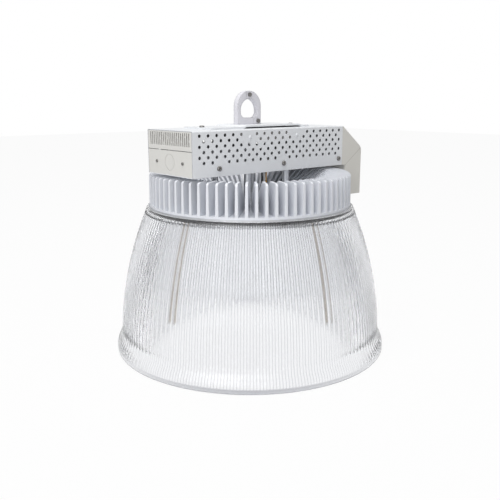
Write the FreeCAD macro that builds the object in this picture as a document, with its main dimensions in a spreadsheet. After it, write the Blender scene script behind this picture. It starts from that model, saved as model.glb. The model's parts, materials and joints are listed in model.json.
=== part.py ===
# High bay light: an LED heat sink with a driver box above it and a prismatic acrylic reflector below.
# Millimetres, +Z up. The origin is on the light's axis, in the plane of the reflector's rim.
# The driver box lies along X, with its wiring arm at +X and its louvred end at -X.
import FreeCAD, Part
import Sketcher
import math
import os
import re

doc = FreeCAD.newDocument("HighBayLight")

# ---------------------------------------------------------------- driving dimensions
sizes = [
    ("reflectorHeight", 215, "rim to the collar"),
    ("rimRadius", 205, "outside of the rim"),
    ("rimWidth", 5, "radial width of the rim bead"),
    ("rimHeight", 6, "height of the rim bead"),
    ("flareHeight", 30, "where the flare above the rim begins"),
    ("rimReach", 7.5, "rim beyond the bell's foot"),
    ("bellNeckRadius", 154, "outside of the bell at the collar"),
    ("bellArc", 508, "radius of the bell's outline"),
    ("acrylicWall", 4, "wall of the bell"),
    ("lipRadius", 134, "opening in the bell's neck"),
    ("neckBand", 7, "plain band at the top of the bell"),
    ("prismCount", 150, "prisms around the bell"),
    ("prismDepth", 1.8, "ridge to valley at the bell's foot"),
    ("prismSetback", 0.4, "ridges inside the plain bands"),
    ("prismSpans", 5, "straight runs along each prism"),
    ("collarRadius", 151.3, "outside of the collar ring"),
    ("collarInner", 130, "opening of the collar ring"),
    ("collarPlate", 2, "thickness of the collar ring"),
    ("sinkRadius", 150, "heat sink over its fins"),
    ("flangePlate", 3, "heat sink's base flange"),
    ("finHeight", 43.5, "fins above the flange"),
    ("finRoot", 4.6, "fin thickness at the flange"),
    ("finDraft", 0.8, "draft angle of the fins in degrees"),
    ("finCount", 72, "fins around the heat sink"),
    ("finCorner", 5, "rounding of each fin's outer top corner"),
    ("bowlRadius", 122, "where the fin tops begin to slope to the hub"),
    ("hubRadius", 65, "flat hub in the middle of the heat sink"),
    ("hubRise", 8, "hub above the heat sink's underside"),
    ("boxGap", 4.5, "air gap between the fins and the box"),
    ("boxLeft", 143, "axis to the louvred end"),
    ("boxRight", 146, "axis to the end of the perforated cover"),
    ("boxWidth", 105, "across the box"),
    ("boxHeight", 60.5, "height of the box"),
    ("sheetSteel", 1.2, "sheet of the box and the arm"),
    ("trayLip", 16, "upturned sides of the tray"),
    ("foldRadius", 1.5, "outside of the cover's folds"),
    ("perfSize", 4.6, "perforation across its corners"),
    ("perfPitch", 14.14, "perforations along one row"),
    ("perfRowPitch", 7.07, "between rows of perforations"),
    ("perfColumns", 20, "perforations in the longer rows"),
    ("perfRows", 6, "rows of perforations"),
    ("perfLeft", 11.7, "louvred end to the first perforation"),
    ("perfDrop", 6.2, "top of the box to the first row"),
    ("perfKeepOff", 9.6, "bare sheet around each fixing"),
    ("coverScrewPitch", 118.5, "screws along the cover's edge"),
    ("coverScrewMiddle", 19.2, "middle screw from the axis"),
    ("coverScrewRise", 10.5, "cover screws above the box's floor"),
    ("rivetPitch", 90, "rivets of the bridge along the box"),
    ("rivetDrop", 10.3, "rivets below the box's top"),
    ("seamRise", 34.2, "seam between access cover and louvred plate"),
    ("seamGap", 0.8, "width of that seam"),
    ("louvreCount", 21, "slots in the end plate"),
    ("louvrePitch", 4.5, "between slots"),
    ("louvreWidth", 2.2, "width of a slot"),
    ("louvreHeight", 17.3, "height of a slot"),
    ("louvreDrop", 2.7, "top of the box to the slots"),
    ("accessScrewReach", 30.5, "access cover's screws from the middle"),
    ("accessScrewRise", 18, "access cover's screws above the floor"),
    ("knockoutRadius", 11.1, "half inch conduit knockout"),
    ("knockoutGroove", 0.6, "sheared line around the knockout"),
    ("knockoutDepth", 0.5, "depth of that line"),
    ("armOuter", 192, "axis to the outside of the arm"),
    ("armInner", 155, "axis to the inside of the arm's leg"),
    ("armFootRise", 2.5, "arm's foot above the heat sink's underside"),
    ("armShoulderDrop", 34.9, "fall of the arm's sloping top"),
    ("armBend", 12, "rounding of the arm's shoulder"),
    ("saddlePlate", 2.5, "plate of the mounting saddle"),
    ("saddleRise", 2.2, "gap under the raised plate"),
    ("saddleWidth", 64, "across the saddle"),
    ("saddleLeft", 34, "raised plate to the left of the axis"),
    ("saddleRight", 70, "raised plate to the right of the axis"),
    ("saddleRun", 5, "length of each slope"),
    ("saddleLeftFoot", 57, "length of the left foot"),
    ("saddleRightFoot", 16, "length of the right foot"),
    ("saddleScrewIn", 8, "saddle's screws from its ends"),
    ("eyeMiddle", -5, "hanging eye from the axis along the box"),
    ("eyeWidth", 44, "outside of the hanging eye"),
    ("eyeHeight", 47.5, "hanging eye above the saddle"),
    ("eyePlate", 9, "thickness of the hanging eye"),
    ("eyeOpening", 33, "width of the opening"),
    ("eyeSill", 9.5, "opening above the saddle"),
    ("eyeCrown", 11.2, "metal above the opening"),
    ("eyeCorner", 8, "rounding of the opening's lower corners"),
    ("gateLap", 5, "half length of the lap at the crown"),
    ("gateFoot", 9, "middle of the eye to the gate's foot"),
    ("lockScrewDrop", 5.3, "lock screw below the top of the eye"),
    ("pivotReach", 16.5, "middle of the eye to the pivot screw"),
    ("pivotRise", 4.7, "pivot screw above the saddle"),
    ("eyeScrewRadius", 2.2, "shank of the lock and pivot screws"),
    ("eyeScrewHead", 2.8, "head of the lock and pivot screws"),
    ("stemRadius", 6, "threaded stem of the eye"),
    ("stemLength", 24, "stem below the saddle's top"),
    ("nutAcross", 19, "stem nut across its flats"),
    ("nutHeight", 9, "stem nut"),
    ("washerRadius", 12, "washer of the stem nut"),
    ("washerPlate", 1.5, "washer of the stem nut"),
    ("bridgePlate", 2.5, "plate of the bridge in the box"),
    ("bridgeLength", 112, "bridge along the box"),
    ("bridgeDepth", 17, "flanges of the bridge"),
    ("standoffPitch", 75, "between standoffs"),
    ("standoffRadius", 5, "standoff"),
    ("standoffBore", 2.4, "threaded bore of a standoff"),
    ("standoffBoreDepth", 12, "threaded bore of a standoff"),
    ("screwHead", 3.6, "radius of a pan head"),
    ("screwHeadHeight", 2.4, "height of a pan head"),
    ("screwShank", 2, "radius of a screw's shank"),
    ("screwLength", 8, "length of a screw's shank"),
    ("smallHead", 2.2, "radius of a small pan head"),
    ("smallHeadHeight", 1.5, "height of a small pan head"),
    ("fitGap", 0.2, "gap around a pin in its hole"),
    ("boardRadius", 100, "LED board"),
    ("boardPlate", 1.6, "LED board"),
    ("ledSize", 3.5, "side of an LED"),
    ("ledHeight", 0.9, "height of an LED"),
    ("ledRings", 3, "rings of LEDs"),
    ("ledRingPitch", 25, "between rings of LEDs"),
    ("ledStep", 8, "LEDs added by each ring"),
    ("boardScrewRadius", 93, "circle of the board's screws"),
    ("boardScrewCount", 6, "screws of the board"),
    ("lensRadius", 115, "lens plate"),
    ("lensPlate", 3, "lens plate"),
    ("lensDrop", 6, "lens below the heat sink's underside"),
    ("lensLap", 4, "width of the frame under the lens"),
    ("frameWall", 8, "wall of the lens frame"),
    ("framePlate", 2, "lens frame under the lens"),
    ("frameScrewCount", 8, "screws of the lens frame"),
    ("reflectorScrewCircle", 142, "circle of the reflector's screws"),
    ("reflectorScrewCount", 8, "screws of the reflector"),
    ("wireHoleX", 15, "wire holes from the axis along the box"),
    ("wireHoleY", -15, "wire holes from the axis across the box"),
    ("wireHoleRadius", 8, "wire holes"),
    ("grommetBore", 5.6, "bore of a grommet"),
    ("grommetFlange", 10, "flange of a grommet"),
    ("grommetLip", 1.6, "lip of a grommet"),
    ("leadRadius", 1.4, "wire lead over its insulation"),
    ("leadSpread", 3.4, "leads from the middle of the wire holes"),
    ("driverLength", 104, "LED driver's case"),
    ("driverWidth", 62, "LED driver's case"),
    ("driverHeight", 36, "LED driver's case"),
    ("driverMiddle", -72, "middle of the driver along the box"),
    ("driverFlange", 10, "driver's mounting ears"),
    ("driverEar", 1.5, "plate of the mounting ears"),
    ("terminalX", 34, "near face of the terminal block"),
    ("terminalLength", 22, "terminal block along the box"),
    ("terminalWidth", 40, "terminal block across the box"),
    ("terminalHeight", 17, "terminal block"),
    ("arresterX", 84, "near face of the surge arrester"),
    ("arresterLength", 36, "surge arrester along the box"),
    ("arresterWidth", 48, "surge arrester across the box"),
    ("arresterHeight", 25, "surge arrester"),
    ("cutMargin", 5, "how far a cutter runs past the metal"),
]
sheet = doc.addObject("Spreadsheet::Sheet", "Sizes")
for row, (alias, value, note) in enumerate(sizes, start=1):
    sheet.set(f"A{row}", alias)
    sheet.set(f"B{row}", str(value))
    sheet.set(f"C{row}", note)
    sheet.setAlias(f"B{row}", alias)
doc.recompute()
owner = {alias: "Sizes." for alias, value, note in sizes}


def spelled(text):
    # an expression written with bare names, with each name's owner put before it
    return re.sub(r"[A-Za-z]\w*", lambda word: owner.get(word.group(), "") + word.group(), text)


# heights and other sizes that several pieces share
levels = doc.addObject("App::VarSet", "Levels")
for alias, text in [
    ("sinkFloor", "reflectorHeight + collarPlate"),
    ("flangeTop", "sinkFloor + flangePlate"),
    ("finTop", "flangeTop + finHeight"),
    ("hubTop", "sinkFloor + hubRise"),
    ("boxFloor", "finTop + boxGap"),
    ("boxTop", "boxFloor + boxHeight"),
    ("saddleTop", "boxTop + saddleRise + saddlePlate"),
    ("saddleLeftEnd", "saddleLeft + saddleRun + saddleLeftFoot"),
    ("saddleRightEnd", "saddleRight + saddleRun + saddleRightFoot"),
    ("eyeTop", "saddleTop + eyeHeight"),
    ("boxHalf", "boxWidth / 2"),
    ("innerHalf", "boxHalf - sheetSteel"),
    ("trayTop", "boxFloor + sheetSteel"),
    ("bridgeTop", "boxTop - sheetSteel"),
    ("washerTop", "bridgeTop - bridgePlate"),
    ("accessTop", "boxFloor + seamRise - seamGap / 2"),
    ("louvreFoot", "boxFloor + seamRise + seamGap / 2"),
    ("armFoot", "sinkFloor + armFootRise"),
    ("lensTop", "sinkFloor - lensDrop"),
    ("lensFloor", "lensTop - lensPlate"),
    ("frameFloor", "lensFloor - framePlate"),
    ("frameRadius", "lensRadius + frameWall"),
    ("lipFloor", "reflectorHeight - acrylicWall"),
    ("bellFootRadius", "rimRadius - rimReach"),
    ("prismTop", "reflectorHeight - neckBand"),
    ("bellRun", "reflectorHeight - flareHeight"),
    ("bellSpread", "bellFootRadius - bellNeckRadius"),
    ("bellChord", "sqrt(bellRun * bellRun + bellSpread * bellSpread)"),
    ("bellReach", "sqrt(bellArc * bellArc - bellChord * bellChord / 4)"),
    ("arcRadius", "(bellFootRadius + bellNeckRadius) / 2 - bellReach * bellRun / bellChord"),
    ("arcHeight", "(reflectorHeight + flareHeight) / 2 - bellReach * bellSpread / bellChord"),
    ("prismTopRadius", "arcRadius + sqrt(bellArc * bellArc - (prismTop - arcHeight) * (prismTop - arcHeight))"),
    ("flareFall", "flareHeight - rimHeight"),
    ("flareBend", "(rimReach * rimReach + flareFall * flareFall) / (4 * rimReach)"),
    ("innerFoot", "bellFootRadius - acrylicWall"),
    ("innerRim", "rimRadius - rimWidth"),
    ("innerStep", "innerRim - innerFoot"),
    ("innerBend", "(innerStep * innerStep + flareFall * flareFall) / (4 * innerStep)"),
    ("innerArc", "bellArc - acrylicWall"),
    ("eyeRadius", "eyeWidth / 2"),
    ("eyeHole", "eyeOpening / 2"),
    ("crownFall", "eyeTop - eyeCrown - eyeHole"),
]:
    levels.addProperty("App::PropertyFloat", alias)
    levels.setExpression(alias, spelled(text))
    owner[alias] = "Levels."
doc.recompute()


# ---------------------------------------------------------------- helpers
pieces = []


def keep(piece, name):
    # a finished piece, which is written under this name
    piece.Label = name
    pieces.append(piece)
    return piece


def bind(thing, **texts):
    # ties properties to expressions; a double underscore stands for the dot in a path
    for path, text in texts.items():
        thing.setExpression(path.replace("__", "."), spelled(text))
    return thing


def box(name, x, y, z, length, width, height):
    block = doc.addObject("Part::Box", name)
    return bind(block, Length=length, Width=width, Height=height,
                Placement__Base__x=x, Placement__Base__y=y, Placement__Base__z=z)


def post(name, x, y, z, radius, height):
    # an upright cylinder
    pin = doc.addObject("Part::Cylinder", name)
    return bind(pin, Radius=radius, Height=height,
                Placement__Base__x=x, Placement__Base__y=y, Placement__Base__z=z)


def crossPin(name, x, y, z, radius, height):
    # a cylinder along +Y
    pin = doc.addObject("Part::Cylinder", name)
    pin.Placement.Rotation = FreeCAD.Rotation(FreeCAD.Vector(1, 0, 0), -90)
    return bind(pin, Radius=radius, Height=height,
                Placement__Base__x=x, Placement__Base__y=y, Placement__Base__z=z)


def cut(name, base, tool):
    result = doc.addObject("Part::Cut", name)
    result.Base = base
    result.Tool = tool
    return result


def fuse(name, parts):
    result = doc.addObject("Part::MultiFuse", name)
    result.Shapes = parts
    return result


def newBody(name):
    return doc.addObject("PartDesign::Body", name)


def sketchOn(body, role, name, offset=None):
    # a sketch on one of the body's own origin planes, moved along its normal
    sketch = body.newObject("Sketcher::SketchObject", name)
    plane = next(feature for feature in body.Origin.OriginFeatures if feature.Role == role)
    sketch.AttachmentSupport = [(plane, "")]
    sketch.MapMode = "FlatFace"
    if offset:
        sketch.setExpression("AttachmentOffset.Base.z", spelled(offset))
    return sketch


def held(sketch, constraint, text):
    index = sketch.addConstraint(constraint)
    sketch.setExpression(f"Constraints[{index}]", spelled(text))


def anchor(sketch, across, up):
    # a construction point held at two expressions from the sketch's origin
    index = sketch.addGeometry(Part.Point(FreeCAD.Vector(1, 1, 0)), True)
    held(sketch, Sketcher.Constraint("DistanceX", -1, 1, index, 1, 1.0), across)
    held(sketch, Sketcher.Constraint("DistanceY", -1, 1, index, 1, 1.0), up)
    return index


def outline(sketch, corners):
    # A closed outline. A corner is (across, up), or (across, up, radius, side) where an arc leaves it.
    # The side is 1 for an arc whose centre lies to the left of the way to the next corner, else -1.
    anchors = [anchor(sketch, corner[0], corner[1]) for corner in corners]
    sketch.recompute()
    spots = [sketch.getPoint(index, 1) for index in anchors]
    for number, corner in enumerate(corners):
        following = (number + 1) % len(corners)
        start, end = spots[number], spots[following]
        if len(corner) == 2:
            edge = sketch.addGeometry(Part.LineSegment(start, end), False)
            first, last = 1, 2
        else:
            radius, side = number_of(corner[2]), corner[3]
            chord = end - start
            left = FreeCAD.Vector(-chord.y, chord.x, 0).normalize()
            reach = math.sqrt(max(radius**2 - chord.Length**2 / 4, 0))
            centre = (start + end) * 0.5 + left * (side * reach)
            angles = [math.atan2(spot.y - centre.y, spot.x - centre.x) for spot in (start, end)]
            circle = Part.Circle(centre, FreeCAD.Vector(0, 0, 1), radius)
            turned = angles if side > 0 else angles[::-1]
            edge = sketch.addGeometry(Part.ArcOfCircle(circle, turned[0], turned[1]), False)
            first, last = (1, 2) if side > 0 else (2, 1)
            held(sketch, Sketcher.Constraint("Radius", edge, radius), corner[2])
        sketch.addConstraint(Sketcher.Constraint("Coincident", edge, first, anchors[number], 1))
        sketch.addConstraint(Sketcher.Constraint("Coincident", edge, last, anchors[following], 1))
    return sketch


def number_of(alias):
    holder = levels if owner[alias] == "Levels." else sheet
    return float(getattr(holder, alias))


def ring(sketch, across, up, radius):
    centre = anchor(sketch, across, up)
    sketch.recompute()
    circle = Part.Circle(sketch.getPoint(centre, 1), FreeCAD.Vector(0, 0, 1), 1.0)
    edge = sketch.addGeometry(circle, False)
    sketch.addConstraint(Sketcher.Constraint("Coincident", edge, 3, centre, 1))
    held(sketch, Sketcher.Constraint("Radius", edge, 1.0), radius)


def pad(body, sketch, length, name, symmetric=False):
    feature = body.newObject("PartDesign::Pad", name)
    feature.Profile = sketch
    feature.SideType = "Symmetric" if symmetric else "One side"
    return bind(feature, Length=length)


def pocket(body, sketch, length, name, reverse=False, symmetric=False):
    feature = body.newObject("PartDesign::Pocket", name)
    feature.Profile = sketch
    feature.SideType = "Symmetric" if symmetric else "One side"
    feature.Reversed = reverse
    return bind(feature, Length=length)


def turn(body, sketch, name, kind="Revolution"):
    feature = body.newObject("PartDesign::" + kind, name)
    feature.Profile = sketch
    feature.ReferenceAxis = (sketch, ["V_Axis"])
    feature.Angle = 360
    return feature


def turned(name, corners):
    # a piece turned about the light's axis, from its section as (radius, height) corners
    body = newBody(name)
    section = outline(sketchOn(body, "XZ_Plane", name + "Section"), corners)
    turn(body, section, name + "Turn")
    return body


def folded(name, corners, start, length):
    # a sheet folded across the box, from its section as (y, z) corners, drawn out along +X
    body = newBody(name)
    section = outline(sketchOn(body, "YZ_Plane", name + "Section", start), corners)
    pad(body, section, length, name + "Length")
    return body


def copies(name, master, places):
    # one fastener's shape at every place, as separate solids
    group = doc.addObject("Part::Feature", name)
    group.Shape = Part.makeCompound([master.Shape.transformed(place.toMatrix()) for place in places])
    return keep(group, name)


def place(x, y, z, axis=(1, 0, 0), angle=0):
    return FreeCAD.Placement(FreeCAD.Vector(x, y, z), FreeCAD.Rotation(FreeCAD.Vector(*axis), angle))


def around(radius, height, count, first, axis=(1, 0, 0), angle=180):
    # places on a circle around the light's axis, by default looking down
    steps = [first + 2 * math.pi * index / count for index in range(count)]
    return [place(radius * math.cos(step), radius * math.sin(step), height, axis, angle) for step in steps]


# ---------------------------------------------------------------- fasteners' forms
def panHead(name, head, height, shank=None, length=None):
    # A pan head standing on the origin, with its shank below. The shank is left off where none is given.
    body = newBody(name)
    corners = [("0", "0"), (head, "0"), (head, f"{height} * 0.6"), (f"{head} * 0.7", height), ("0", height)]
    if shank:
        corners[:1] = [("0", f"-{length}"), (shank, f"-{length}"), (shank, "0")]
    turn(body, outline(sketchOn(body, "XZ_Plane", name + "Section"), corners), name + "Turn")
    return body


pan = panHead("panScrew", "screwHead", "screwHeadHeight")
longPan = panHead("panScrewLong", "screwHead", "screwHeadHeight", "screwShank", "screwLength")
smallPan = panHead("smallScrew", "smallHead", "smallHeadHeight")
doc.recompute()

# ---------------------------------------------------------------- reflector and collar
bellNeck = turned("bellNeck", [
    ("0", "reflectorHeight"),
    ("bellNeckRadius", "reflectorHeight", "bellArc", -1),
    ("prismTopRadius", "prismTop"),
    ("0", "prismTop"),
])
bellSkirt = turned("bellSkirt", [
    ("0", "flareHeight"),
    ("bellFootRadius", "flareHeight", "flareBend", 1),
    ("bellFootRadius + rimReach / 2", "flareHeight - flareFall / 2", "flareBend", -1),
    ("rimRadius", "rimHeight"),
    ("rimRadius", "0"),
    ("0", "0"),
])
bellCavity = turned("bellCavity", [
    ("0", "-cutMargin"),
    ("innerRim", "-cutMargin"),
    ("innerRim", "rimHeight", "innerBend", 1),
    ("innerFoot + innerStep / 2", "flareHeight - flareFall / 2", "innerBend", -1),
    ("innerFoot", "flareHeight", "innerArc", 1),
    ("bellNeckRadius - acrylicWall", "lipFloor"),
    ("lipRadius", "lipFloor"),
    ("lipRadius", "reflectorHeight + cutMargin"),
    ("0", "reflectorHeight + cutMargin"),
])


def prismSection(name, height):
    # The prisms at one height: a ridge on the bell's arc, then a valley, in turn around the bell.
    # Valleys keep their share of the ridge's radius, so that every face of the loft is flat.
    arc = math.sqrt(sheet.bellArc**2 - (height - levels.arcHeight)**2)
    ridge = levels.arcRadius + arc - sheet.prismSetback
    valley = ridge * (1 - sheet.prismDepth / levels.bellFootRadius)
    corners = []
    for step in range(2 * int(sheet.prismCount) + 1):
        angle = math.pi * step / int(sheet.prismCount)
        radius = valley if step % 2 else ridge
        corners.append(FreeCAD.Vector(radius * math.cos(angle), radius * math.sin(angle), height))
    section = doc.addObject("Part::Feature", name)
    section.Shape = Part.makePolygon(corners)
    return section


prismRun = (levels.prismTop - sheet.flareHeight) / int(sheet.prismSpans)
prisms = doc.addObject("Part::Loft", "prisms")
prisms.Sections = [prismSection(f"prismSection{span}", sheet.flareHeight + span * prismRun)
                   for span in range(int(sheet.prismSpans) + 1)]
prisms.Solid = True
prisms.Ruled = True
reflector = cut("reflector", fuse("bellForm", [bellNeck, prisms, bellSkirt]), bellCavity)
keep(reflector, "reflector")

collar = turned("reflector_collar", [
    ("collarInner", "reflectorHeight"),
    ("collarRadius", "reflectorHeight"),
    ("collarRadius", "sinkFloor"),
    ("collarInner", "sinkFloor"),
])
keep(collar, "reflector_collar")
copies("reflector_screws", pan, around(
    sheet.reflectorScrewCircle, levels.lipFloor, sheet.reflectorScrewCount, math.pi / 8))

# ---------------------------------------------------------------- heat sink
sink = turned("heat_sink", [
    ("0", "sinkFloor"),
    ("sinkRadius", "sinkFloor"),
    ("sinkRadius", "flangeTop"),
    ("hubRadius", "flangeTop"),
    ("hubRadius", "hubTop"),
    ("0", "hubTop"),
])
finFoot = sketchOn(sink, "XY_Plane", "finFoot", "flangeTop")
finFoot.setExpression("AttachmentOffset.Rotation.Angle", spelled("180 / finCount"))
outline(finFoot, [
    ("hubRadius - finRoot", "-finRoot / 2"),
    ("sinkRadius", "-finRoot / 2"),
    ("sinkRadius", "finRoot / 2"),
    ("hubRadius - finRoot", "finRoot / 2"),
])
fin = pad(sink, finFoot, "finHeight", "fin")
fin.setExpression("TaperAngle", spelled("-finDraft"))
doc.recompute()
fins = sink.newObject("PartDesign::PolarPattern", "fins")
fins.Originals = [fin]
fins.Axis = (finFoot, ["N_Axis"])
bind(fins, Occurrences="finCount")
sink.Tip = fins
doc.recompute()
bowl = outline(sketchOn(sink, "XZ_Plane", "bowlSection"), [
    ("0", "hubTop"),
    ("hubRadius", "hubTop"),
    ("bowlRadius", "finTop"),
    ("bowlRadius", "finTop + cutMargin"),
    ("0", "finTop + cutMargin"),
])
turn(sink, bowl, "bowl", "Groove")
corner = outline(sketchOn(sink, "XZ_Plane", "cornerSection"), [
    ("sinkRadius - finCorner", "finTop", "finCorner", -1),
    ("sinkRadius", "finTop - finCorner"),
    ("sinkRadius + cutMargin", "finTop - finCorner"),
    ("sinkRadius + cutMargin", "finTop + cutMargin"),
    ("sinkRadius - finCorner", "finTop + cutMargin"),
])
turn(sink, corner, "finCorners", "Groove")
sinkHoles = sketchOn(sink, "XY_Plane", "sinkHoles", "hubTop")
ring(sinkHoles, "wireHoleX", "wireHoleY", "wireHoleRadius")
pocket(sink, sinkHoles, "hubRise", "sinkWireHole")
keep(sink, "heat_sink")

# ---------------------------------------------------------------- LED board, lens and lens frame
board = post("led_board", "0", "0", "sinkFloor - boardPlate", "boardRadius", "boardPlate")
keep(board, "led_board")
diodes = []
for ringNumber in range(1, int(sheet.ledRings) + 1):
    ringCount = int(sheet.ledStep) * ringNumber
    for spot in around(sheet.ledRingPitch * ringNumber, levels.sinkFloor - sheet.boardPlate,
                       ringCount, math.pi / ringCount):
        diode = Part.makeBox(sheet.ledSize, sheet.ledSize, sheet.ledHeight,
                             FreeCAD.Vector(-sheet.ledSize / 2, -sheet.ledSize / 2, 0))
        diodes.append(diode.transformed(spot.toMatrix()))
leds = doc.addObject("Part::Feature", "leds")
leds.Shape = Part.makeCompound(diodes)
keep(leds, "leds")
copies("board_screws", smallPan, around(
    sheet.boardScrewRadius, levels.sinkFloor - sheet.boardPlate, sheet.boardScrewCount, 0))

keep(post("lens_plate", "0", "0", "lensFloor", "lensRadius", "lensPlate"), "lens_plate")
keep(turned("lens_gasket", [
    ("lensRadius - lensLap", "lensTop"),
    ("lensRadius", "lensTop"),
    ("lensRadius", "sinkFloor"),
    ("lensRadius - lensLap", "sinkFloor"),
]), "lens_gasket")
keep(turned("lens_frame", [
    ("lensRadius - lensLap", "frameFloor"),
    ("frameRadius", "frameFloor"),
    ("frameRadius", "sinkFloor"),
    ("lensRadius + fitGap", "sinkFloor"),
    ("lensRadius + fitGap", "lensFloor"),
    ("lensRadius - lensLap", "lensFloor"),
]), "lens_frame")
copies("frame_screws", smallPan, around(
    sheet.lensRadius + sheet.frameWall / 2, levels.frameFloor, sheet.frameScrewCount, 0))

# ---------------------------------------------------------------- driver box
tray = folded("box_tray", [
    ("-innerHalf", "boxFloor"),
    ("innerHalf", "boxFloor"),
    ("innerHalf", "boxFloor + trayLip"),
    ("innerHalf - sheetSteel", "boxFloor + trayLip"),
    ("innerHalf - sheetSteel", "trayTop"),
    ("sheetSteel - innerHalf", "trayTop"),
    ("sheetSteel - innerHalf", "boxFloor + trayLip"),
    ("-innerHalf", "boxFloor + trayLip"),
], "sheetSteel - boxLeft", "boxLeft + armInner - 2 * sheetSteel")
sill = outline(sketchOn(tray, "YZ_Plane", "sillSection", "-boxLeft"), [
    ("-innerHalf", "boxFloor"),
    ("innerHalf", "boxFloor"),
    ("innerHalf", "trayTop"),
    ("-innerHalf", "trayTop"),
])
pad(tray, sill, "sheetSteel", "sill")
endWall = outline(sketchOn(tray, "YZ_Plane", "endWallSection", "sheetSteel - boxLeft"), [
    ("sheetSteel - innerHalf", "boxFloor"),
    ("innerHalf - sheetSteel", "boxFloor"),
    ("innerHalf - sheetSteel", "accessTop"),
    ("sheetSteel - innerHalf", "accessTop"),
])
pad(tray, endWall, "sheetSteel", "endWall")
trayHoles = sketchOn(tray, "XY_Plane", "trayHoles", "trayTop")
ring(trayHoles, "wireHoleX", "wireHoleY", "wireHoleRadius")
for alongSign in (-1, 1):
    for acrossSign in (-1, 1):
        ring(trayHoles, f"{alongSign} * standoffPitch / 2", f"{acrossSign} * standoffPitch / 2",
             "screwShank + fitGap")
pocket(tray, trayHoles, "sheetSteel", "trayHolesCut")
keep(tray, "box_tray")

coverForm = folded("coverForm", [
    ("-boxHalf", "boxFloor"),
    ("-innerHalf", "boxFloor"),
    ("-innerHalf", "bridgeTop"),
    ("innerHalf", "bridgeTop"),
    ("innerHalf", "boxFloor"),
    ("boxHalf", "boxFloor"),
    ("boxHalf", "boxTop"),
    ("-boxHalf", "boxTop"),
], "-boxLeft", "boxLeft + boxRight")
doc.recompute()
folds = coverForm.newObject("PartDesign::Fillet", "coverFolds")
foldEdges = []
for index, edge in enumerate(coverForm.getObject("coverFormLength").Shape.Edges, start=1):
    ends = [vertex.Point for vertex in edge.Vertexes]
    onTop = all(abs(end.z - levels.boxTop) < 0.01 for end in ends)
    alongBox = abs(ends[0].y - ends[1].y) < 0.01
    if onTop and alongBox:
        foldEdges.append(f"Edge{index}")
folds.Base = (coverForm.getObject("coverFormLength"), foldEdges)
bind(folds, Radius="foldRadius")
stemHole = sketchOn(coverForm, "XY_Plane", "coverStemHole", "boxTop")
ring(stemHole, "eyeMiddle", "0", "stemRadius + fitGap")
pocket(coverForm, stemHole, "sheetSteel", "coverStemCut")

# fixings through the cover's sides, as places (x, z)
coverScrews = [(sheet.coverScrewMiddle + step * sheet.coverScrewPitch,
                levels.boxFloor + sheet.coverScrewRise) for step in (-1, 0, 1)]
rivets = [(side * sheet.rivetPitch / 2, levels.boxTop - sheet.rivetDrop) for side in (-1, 1)]

# perforations through both sides, on a staggered grid that keeps off the fixings
perforations = []
for row in range(int(sheet.perfRows)):
    height = levels.boxTop - sheet.perfDrop - row * sheet.perfRowPitch
    stagger = row % 2
    for column in range(int(sheet.perfColumns) - stagger):
        along = sheet.perfLeft - sheet.boxLeft + (column + stagger / 2) * sheet.perfPitch
        if all(math.hypot(along - x, height - z) > sheet.perfKeepOff for x, z in coverScrews + rivets):
            start = FreeCAD.Vector(along, -levels.boxHalf - sheet.cutMargin, height)
            rim = [start + FreeCAD.Vector(math.sin(math.pi * step / 3), 0, math.cos(math.pi * step / 3))
                   * (sheet.perfSize / 2) for step in range(7)]
            face = Part.Face(Part.makePolygon(rim))
            perforations.append(face.extrude(FreeCAD.Vector(0, sheet.boxWidth + 2 * sheet.cutMargin, 0)))
punch = doc.addObject("Part::Feature", "perforationPunch")
punch.Shape = Part.makeCompound(perforations)
keep(cut("box_cover", coverForm, punch), "box_cover")

coverScrewPlaces = [place(x, side * levels.boxHalf, z, (1, 0, 0), -90 * side)
                    for x, z in coverScrews for side in (-1, 1)]
copies("cover_screws", pan, coverScrewPlaces)

# ---------------------------------------------------------------- louvred end and access cover
endPlate = folded("louvred_end_plate", [
    ("-innerHalf", "louvreFoot"),
    ("innerHalf", "louvreFoot"),
    ("innerHalf", "bridgeTop"),
    ("-innerHalf", "bridgeTop"),
], "-boxLeft", "sheetSteel")
endFlange = outline(sketchOn(endPlate, "YZ_Plane", "endFlangeSection", "sheetSteel - boxLeft"), [
    ("-innerHalf", "bridgeTop - sheetSteel"),
    ("innerHalf", "bridgeTop - sheetSteel"),
    ("innerHalf", "bridgeTop"),
    ("-innerHalf", "bridgeTop"),
])
pad(endPlate, endFlange, "trayLip", "endFlange")
firstSlot = "louvrePitch * (1 - louvreCount) / 2"
slot = outline(sketchOn(endPlate, "YZ_Plane", "slotSection", "sheetSteel - boxLeft"), [
    (f"{firstSlot} - louvreWidth / 2", "boxTop - louvreDrop - louvreHeight"),
    (f"{firstSlot} + louvreWidth / 2", "boxTop - louvreDrop - louvreHeight"),
    (f"{firstSlot} + louvreWidth / 2", "boxTop - louvreDrop"),
    (f"{firstSlot} - louvreWidth / 2", "boxTop - louvreDrop"),
])
slotCut = pocket(endPlate, slot, "sheetSteel", "slotCut")
doc.recompute()
slots = endPlate.newObject("PartDesign::LinearPattern", "slots")
slots.Originals = [slotCut]
slots.Direction = (slot, ["H_Axis"])
slots.Mode = "Spacing"
bind(slots, Occurrences="louvreCount", Offset="louvrePitch")
endPlate.Tip = slots
keep(endPlate, "louvred_end_plate")

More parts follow.
